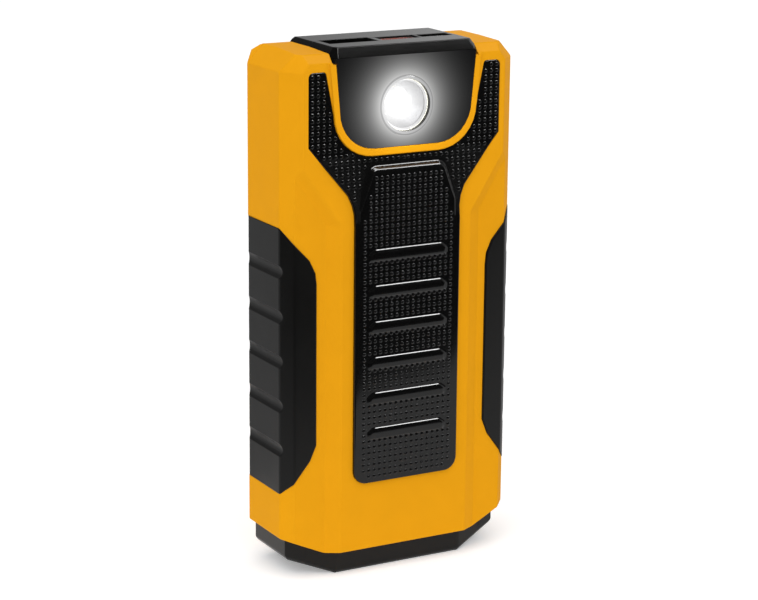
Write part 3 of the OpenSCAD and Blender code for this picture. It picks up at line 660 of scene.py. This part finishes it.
def ridge_half(down):
    """Half length of a ridge at a distance below its step: it widens, then ends in round corners."""
    widening = RIDGE_WIDENING * (1 - smooth(down, -WIDENING_UP, RIDGE_WIDENING))
    over = max(0.0, min(RIDGE_SIDE, down - (RIDGE_RUN - RIDGE_SIDE)))
    return RIDGE_HALF - widening - (RIDGE_SIDE - math.sqrt(RIDGE_SIDE ** 2 - over ** 2))


def ridge_rise(x, down):
    """How far a ridge stands out of the pad at a distance below its step."""
    arc = RIDGE_HEIGHT - (down - CREST_DOWN) ** 2 / (2 * RIDGE_ARC_R)
    step = smooth(down, -STEP_UP, STEP_LOW)
    tail = smooth(RIDGE_RUN - down, 0, RIDGE_END)
    return arc * step * tail * smooth(ridge_half(down) - abs(x), 0, RIDGE_SIDE)


def ridge_patch(skin, lip):
    """A fine grid over one ridge, its rows close together at the step. Returns its outer ring."""
    columns, steep_rows, gentle_rows = 96, 13, 18
    steep_pitch, margin = 0.04 * MM, 0.4 * MM
    half = RIDGE_HALF + margin
    xs = [half * (2 * i / columns - 1) for i in range(columns + 1)]
    foot = STEP_UP + 0.05 * MM
    steep = [steep_pitch * i - foot for i in range(steep_rows)]
    gentle_run = RIDGE_RUN - steep[-1]
    gentle = [steep[-1] + gentle_run * i / gentle_rows for i in range(1, gentle_rows + 1)]
    grid = []
    for down in [RIDGE_RUN + margin] + gentle[::-1] + steep[::-1]:
        row = [Vector((x, INSERT_Y - ridge_rise(x, down), lip - down)) for x in xs]
        grid.append(skin.ring(row))
    for a, b in zip(grid, grid[1:]):
        for i in range(columns):
            skin.faces.append((a[i], a[i + 1], b[i + 1], b[i]))
    return (grid[0][:-1] + [row[-1] for row in grid[:-1]] + grid[-1][:0:-1]
            + [row[0] for row in grid[:0:-1]])


def grid_points(outline, spacing, keep_away, holes=()):
    """Points of a square grid inside an outline and clear of its edge and of the holes."""
    xs = [p.x for p in outline]
    zs = [p.y for p in outline]
    made = []
    z = min(zs) + spacing / 2
    while z < max(zs):
        x = min(xs) + spacing / 2
        while x < max(xs):
            point = Vector((x, z))
            clear = all(distance_to(hole, point) < -keep_away for hole in holes)
            if clear and distance_to(outline, point) > keep_away:
                made.append((x, z))
            x += spacing
        z += spacing
    return made


def edge_profile(width, height, radius):
    """Points (inwards, up) of a ramp with a fillet at its foot and a round at its top."""
    steps = 4
    slope = math.atan2(height, width)
    # Together the two take less than the ramp's length
    reach = min(radius * math.tan(slope / 2), 0.45 * math.hypot(width, height))
    r = reach / math.tan(slope / 2)
    made = []
    for i in range(steps + 1):
        a = slope * i / steps
        made.append((-reach + r * math.sin(a), r * (1 - math.cos(a))))
    for i in range(steps + 1):
        a = slope * (1 - i / steps)
        made.append((width + reach - r * math.sin(a), height - r * (1 - math.cos(a))))
    return made


def insert_back(skin, outer):
    """The insert's rear sheet and rounded rim. Returns the ring that ends the rim in front."""
    def behind(x, z):
        """Y of the rear sheet, which follows the front one."""
        return insert_face(x, z) + INSERT_THICK

    rear = skin.ring([Vector((p.x, behind(*p), p.y)) for p in outer])
    rings = [rear]
    steps = 5
    for i in range(steps + 1):
        a = math.radians(90 * i / steps)
        sunk = INSERT_RIM_R * (1 - math.sin(a))
        moved = inset(outer, INSERT_RIM_R * (1 - math.cos(a)))
        rings.append(skin.ring([Vector((p.x, insert_face(*p) + sunk, p.y)) for p in moved]))
    for a, b in zip(rings, rings[1:]):
        skin.bridge(a, b)
    skin.fill([rear], grid_points(outer, REAR_SPACING, REAR_EDGE), behind)
    return rings[-1]


def pad_border(skin):
    """The pad's border, flush below the bend, wide and high at the top. Returns foot and top rings."""
    foot = pad_outline()
    profiles = []
    for p in foot:
        height = max(BORDER_HEIGHT, insert_face(*p) - INSERT_Y)
        width = max(BORDER_WIDTH, BORDER_SHARE * height)
        profiles.append(edge_profile(width, height, BORDER_R))
    rings = []
    for step in range(len(profiles[0])):
        moved = inset(foot, [profile[step][0] for profile in profiles])
        rings.append(skin.ring([
            Vector((q.x, insert_face(*p) - profile[step][1], q.y))
            for p, q, profile in zip(foot, moved, profiles)]))
    for a, b in zip(rings, rings[1:]):
        skin.bridge(a, b)
    return rings[0], rings[-1]


def make_insert(material):
    """The black insert. Returns its outline and the outlines of its pad's foot and top."""
    skin = Skin()
    outer = resample(back_outline("front_insert"), OUTLINE_SPACING)
    rim = insert_back(skin, outer)
    inner = inset(outer, INSERT_RIM_R)
    foot_ring, top_ring = pad_border(skin)
    pad_foot, pad_top = skin.seen(foot_ring), skin.seen(top_ring)
    skin.fill([rim, foot_ring], grid_points(inner, FACE_SPACING, FACE_EDGE, [pad_foot]), insert_face)
    patches = [ridge_patch(skin, RIDGE_FIRST + RIDGE_PITCH * i) for i in range(RIDGE_COUNT)]
    holes = [skin.seen(ring) for ring in patches]
    skin.fill([top_ring] + patches, grid_points(pad_top, FACE_SPACING, FACE_EDGE, holes),
              lambda x, z: INSERT_Y)
    made = skin.build("insert", material)
    shade(made, sharp=50)
    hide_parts("front_insert")
    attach(made, "housing")
    return inner, pad_foot, pad_top


# ---------------------------------------------------------------- the dots on the insert

# A dot is the cap of a ball: its foot's radius, the ball's, and how deep the ball's middle lies
DOT_R = 0.66 * MM
DOT_BALL_R = 0.84 * MM
DOT_DEPTH = math.sqrt(DOT_BALL_R ** 2 - DOT_R ** 2)
DOT_SUNK = 0.05 * MM
DOT_SIDES = 12
DOT_RING_SHARES = (1, 0.92, 0.8, 0.6, 0.35)
# Rows and columns tried on the pad; there are six rows from one ridge to the next
ROW_PITCH = RIDGE_PITCH / 6
PAD_PITCH = 1.915 * MM
FIRST_PAD_ROW = RIDGE_FIRST - 4.35 * MM
PAD_ROWS = range(-7, 50)
PAD_COLUMNS = range(-8, 9)
# Least distances of the pad's dots from its edge, above a ridge and beside it
PAD_EDGE = 0.95 * MM
DOT_ABOVE_RIDGE = 0.9 * MM
DOT_BESIDE_RIDGE = 0.8 * MM
# Rows and columns tried on the wings, from the top down and from the outside in
WING_PITCH = 1.98 * MM
OUTER_COLUMN = INSERT_HALF - 1.25 * MM
FIRST_WING_ROW = HOUSING_TOP - 7.1 * MM
WING_ROWS = range(26)
WING_COLUMNS = range(17)
# Least distances of a wing's dots from the insert's edge, from the pad and from the middle line
WING_EDGE = 0.6 * MM
WING_TO_PAD = 0.9 * MM
WING_TO_MIDDLE = 0.3 * MM


def clear_of_ridges(x, z):
    """False where a ridge takes a dot's place on the pad."""
    nearest = round((z + RIDGE_RUN / 2 - RIDGE_FIRST) / RIDGE_PITCH)
    down = RIDGE_FIRST + max(0, min(RIDGE_COUNT - 1, nearest)) * RIDGE_PITCH - z
    return not -DOT_ABOVE_RIDGE < down < RIDGE_RUN or abs(x) > RIDGE_HALF + DOT_BESIDE_RIDGE


def pad_dots(pad_top):
    """(x, y, z) of the foot of every dot on the pad."""
    made = []
    for k in PAD_ROWS:
        z = FIRST_PAD_ROW + k * ROW_PITCH
        for j in PAD_COLUMNS:
            x = j * PAD_PITCH
            if distance_to(pad_top, Vector((x, z))) > PAD_EDGE and clear_of_ridges(x, z):
                made.append((x, INSERT_Y, z))
    return made


def wing_dots(outline, pad_foot):
    """(x, y, z) of the foot of every dot on the insert beside and above the pad."""
    made = []
    for k in WING_ROWS:
        z = FIRST_WING_ROW - k * ROW_PITCH
        for j in WING_COLUMNS:
            out = OUTER_COLUMN - j * WING_PITCH
            if out < WING_TO_MIDDLE:
                continue
            for x in (-out, out):
                point = Vector((x, z))
                beside_pad = distance_to(pad_foot, point) < -WING_TO_PAD
                if beside_pad and distance_to(outline, point) > WING_EDGE:
                    made.append((x, insert_face(x, z), z))
    return made


def make_dots(material, places):
    """One small closed dome for each place, all in one piece."""
    skin = Skin()
    rings = [(DOT_R, -DOT_SUNK)]
    for share in DOT_RING_SHARES:
        rings.append((DOT_R * share, math.sqrt(DOT_BALL_R ** 2 - (DOT_R * share) ** 2) - DOT_DEPTH))
    angles = [math.tau * i / DOT_SIDES for i in range(DOT_SIDES)]
    for x, y, z in places:
        made = []
        for radius, height in rings:
            made.append(skin.ring([
                Vector((x + radius * math.cos(a), y - height, z + radius * math.sin(a)))
                for a in angles]))
        tip = skin.ring([Vector((x, y - DOT_BALL_R + DOT_DEPTH, z))])[0]
        for a, b in zip(made, made[1:]):
            skin.bridge(a, b)
        last = made[-1]
        skin.faces += [(last[i], last[(i + 1) % DOT_SIDES], tip) for i in range(DOT_SIDES)]
        skin.faces.append(tuple(reversed(made[0])))
    dots = skin.build("insert_dots", material)
    shade(dots, sharp=75)
    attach(dots, "housing")


# ---------------------------------------------------------------- the lens's lip and its painted highlight

LIP_R = LENS_R - 0.15 * MM
LIP_SECTION_R = 0.12 * MM
LIP_Y = LAMP.y + 1.35 * MM


def make_lens_rim(material):
    """The thin clear lip where the lens meets the ring; its glow is a painted highlight."""
    skin = Skin()
    around, section = 72, 8
    loops = []
    for i in range(around):
        a = math.tau * i / around
        loop = []
        for j in range(section):
            b = math.tau * j / section
            out = LIP_R + LIP_SECTION_R * math.cos(b)
            loop.append(Vector((out * math.cos(a), LIP_Y + LIP_SECTION_R * math.sin(b),
                                LAMP_Z + out * math.sin(a))))
        loops.append(skin.ring(loop))
    for a, b in zip(loops, loops[1:] + loops[:1]):
        skin.bridge(a, b)
    rim = skin.build("lens_rim", material)
    shade(rim, sharp=75)
    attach(rim, "housing")


# ---------------------------------------------------------------- the CAD nodes that stay

NODES_BY_FINISH = {
    "steel": ("usb_shell", "inlet_shell"),
    "tongue": ("usb_tongue",),
    "socket": ("inlet_tongue", "jump_housing", "tact_switch"),
    "brass": ("jump_contacts",),
    "copper": ("jump_leads", "lamp_leads", "busbars"),
    "pouch": ("cells",),
    "foam": ("cell_pads",),
    "board": ("main_board", "port_board"),
    "white": ("led_board", "status_leds"),
    "sleeve": ("capacitors",),
    "ferrite": ("inductor",),
    "screw": ("cover_screws", "board_screws"),
    "button": ("power_button",),
    "pipe": ("light_pipes",),
    "panel": ("lamp_panel",),
    "ring": ("lens_ring",),
    "lens": ("lamp_lens",),
    "chrome": ("reflector",),
    "phosphor": ("led_emitter",),
}


def paint_nodes(materials):
    """Gives each CAD node that stays as it is its finished material."""
    for finish, nodes in NODES_BY_FINISH.items():
        for node in nodes:
            slots = NODES[node].data.materials
            slots.clear()
            slots.append(materials[finish])


# ---------------------------------------------------------------- stage and light

FLOOR_HALF = 6.0
# Painted light: the paper glows round the object, which takes most of its shadow away
FLOOR_GLOW = 0.34
FLOOR_GLOW_REACH = 90 * MM
# Reflections see the white table end in front of the object and grey behind it, as two sheets
# on the floor: yaw, nearest and furthest distance from the object, and grey
DARK_CARD = (math.radians(-22.8), 0.149, 3.0, 0.004)
GREY_CARD = (CAMERA_YAW, -3.0, -0.03, 0.5)
CARD_HALF = 4.0


def plane(name, corners, material):
    """A flat sheet with these corners."""
    mesh = bpy.data.meshes.new(name)
    mesh.from_pydata(corners, [], [tuple(range(len(corners)))])
    return link_object(name, mesh, material)


def card(name, yaw, near, far, grey):
    """A sheet on the floor that only reflections see, from near to far off the object along a yaw."""
    finish = Finish(name, (grey, grey, grey), 1.0)
    finish.shader.inputs["Specular IOR Level"].default_value = 0.0
    out = Vector((math.sin(yaw), -math.cos(yaw), 0))
    side = Vector((math.cos(yaw), math.sin(yaw), 0)) * CARD_HALF
    lift = Vector((0, 0, 0.5 * MM))
    corners = [out * near - side, out * far - side, out * far + side, out * near + side]
    sheet = plane(name, [place + lift for place in corners], finish.material)
    sheet.visible_camera = False
    sheet.visible_diffuse = False
    sheet.visible_shadow = False
    sheet.visible_transmission = False


def make_stage():
    """The paper floor and the two cards."""
    finish = Finish("floor_paper", (0.93, 0.93, 0.93), 0.9)
    finish.shader.inputs["Specular IOR Level"].default_value = 0.0
    finish.tint(finish.noise(40 * MM, 3), 0.004)
    # Painted light on the paper round the object, fading outwards, in place of its shadow
    finish.glow((0, 0, 0), FLOOR_GLOW, FLOOR_GLOW_REACH)
    half = FLOOR_HALF
    corners = [(-half, -half, 0), (half, -half, 0), (half, half, 0), (-half, half, 0)]
    floor = plane("floor", corners, finish.material)
    card("dark_card", *DARK_CARD)
    card("grey_card", *GREY_CARD)


# Light for all but reflections: from all round, and more of it from above and the left
SOFT_ALL_ROUND = 0.6
SOFT_FROM = (-0.30, -0.36, 0.88)
SOFT_STRENGTH = 1.58
SOFT_FOCUS = 3.0
# Light for reflections: a dark room in front, and a wall behind, grey on its left and white on its
# right; each changes over a range of how far a direction points behind or to the right
ROOM = 0.03
BEHIND = (-0.1, 0.25)
WALL_LEFT = 0.25
WALL_RIGHT = 1.0
WALL_CHANGE = (-0.10, 0.10)
# The soft box overhead that only reflections see: radiance, place, and size along X and Y
BOX_RADIANCE = 43
BOX_PLACE = (0.3, -0.21, 1.0)
BOX_WIDE = 1.1
BOX_DEEP = 0.22
# The lamp's spill on what lies in front of it
SPILL_WATTS = 0.009
SPILL_R = 4 * MM
SPILL_OFF = 8 * MM


class Sky:
    """The world's light as a function of direction, built from its shader nodes."""

    def __init__(self):
        world = bpy.data.worlds.new("studio")
        bpy.context.scene.world = world
        world.use_nodes = True
        self.tree = world.node_tree
        self.nodes = self.tree.nodes
        self.links = self.tree.links
        self.background = self.nodes["Background"]
        self.background.inputs["Color"].default_value = (1, 1, 1, 1)
        self.direction = self.nodes.new("ShaderNodeTexCoord").outputs["Generated"]

    def toward(self, direction):
        """How far a ray points along a direction, from -1 to 1."""
        dot = self.nodes.new("ShaderNodeVectorMath")
        dot.operation = "DOT_PRODUCT"
        dot.inputs[1].default_value = Vector(direction).normalized()
        self.links.new(self.direction, dot.inputs[0])
        return dot.outputs["Value"]

    def math(self, operation, a, b):
        """The output of a Math node on a and b."""
        return math_node(self.tree, operation, a, b)

    def step(self, value, start, end, low, high):
        """Runs smoothly from low to high as the value goes from start to end."""
        ramp = self.nodes.new("ShaderNodeMapRange")
        ramp.interpolation_type = "SMOOTHSTEP"
        for name, number in (("From Min", start), ("From Max", end), ("To Min", low), ("To Max", high)):
            ramp.inputs[name].default_value = number
        self.links.new(value, ramp.inputs["Value"])
        return ramp.outputs["Result"]

    def split(self, glossy, other):
        """Shows one light to reflections and another to the rest."""
        path = self.nodes.new("ShaderNodeLightPath")
        mix = self.nodes.new("ShaderNodeMix")
        mix.data_type = "FLOAT"
        self.links.new(path.outputs["Is Glossy Ray"], mix.inputs[0])
        self.links.new(other, mix.inputs[2])
        self.links.new(glossy, mix.inputs[3])
        self.links.new(mix.outputs[0], self.background.inputs["Strength"])


def make_sky():
    """The studio round the object: one that reflections see and one for the rest of the light."""
    sky = Sky()
    above = sky.math("POWER", sky.math("MAXIMUM", sky.toward(SOFT_FROM), 0.0), SOFT_FOCUS)
    soft = sky.math("ADD", sky.math("MULTIPLY", above, SOFT_STRENGTH), SOFT_ALL_ROUND)
    to_right = (math.cos(CAMERA_YAW), math.sin(CAMERA_YAW), 0)
    wall = sky.step(sky.toward(to_right), *WALL_CHANGE, WALL_LEFT, WALL_RIGHT)
    behind = sky.step(sky.toward(-TO_CAMERA), *BEHIND, 0.0, 1.0)
    sky.split(sky.math("ADD", sky.math("MULTIPLY", wall, behind), ROOM), soft)


def link_light(name, data, place):
    """A light in the scene; one that has a direction points straight down."""
    light = bpy.data.objects.new(name, data)
    light.location = place
    bpy.context.scene.collection.objects.link(light)
    return light


def make_soft_box():
    """The soft box overhead, which draws the ridges' bright lines."""
    data = bpy.data.lights.new("ceiling_gloss", "AREA")
    data.shape = "RECTANGLE"
    data.size = BOX_WIDE
    data.size_y = BOX_DEEP
    # Watts that give a rectangle of this size the radiance
    data.energy = BOX_RADIANCE * math.pi * BOX_WIDE * BOX_DEEP
    box = link_light("ceiling_gloss", data, BOX_PLACE)
    box.visible_diffuse = False


def make_spill():
    """A small light at the lamp, for what its glow would light."""
    data = bpy.data.lights.new("lamp_light", "POINT")
    data.energy = SPILL_WATTS
    data.shadow_soft_size = SPILL_R
    spill = link_light("lamp_light", data, LAMP - Vector((0, SPILL_OFF, 0)))
    spill.visible_camera = False
    spill.visible_glossy = False
    spill.visible_transmission = False


# ---------------------------------------------------------------- the whole scene

def main():
    make_camera()
    materials = make_materials()
    paint_nodes(materials)
    make_housing(materials)
    outline, pad_foot, pad_top = make_insert(materials["insert"])
    make_dots(materials["insert"], pad_dots(pad_top) + wing_dots(outline, pad_foot))
    make_lens_rim(materials["rim"])
    make_stage()
    make_sky()
    make_soft_box()
    make_spill()
    settings = bpy.context.scene.view_settings
    settings.view_transform = "Standard"
    settings.look = "None"


main()
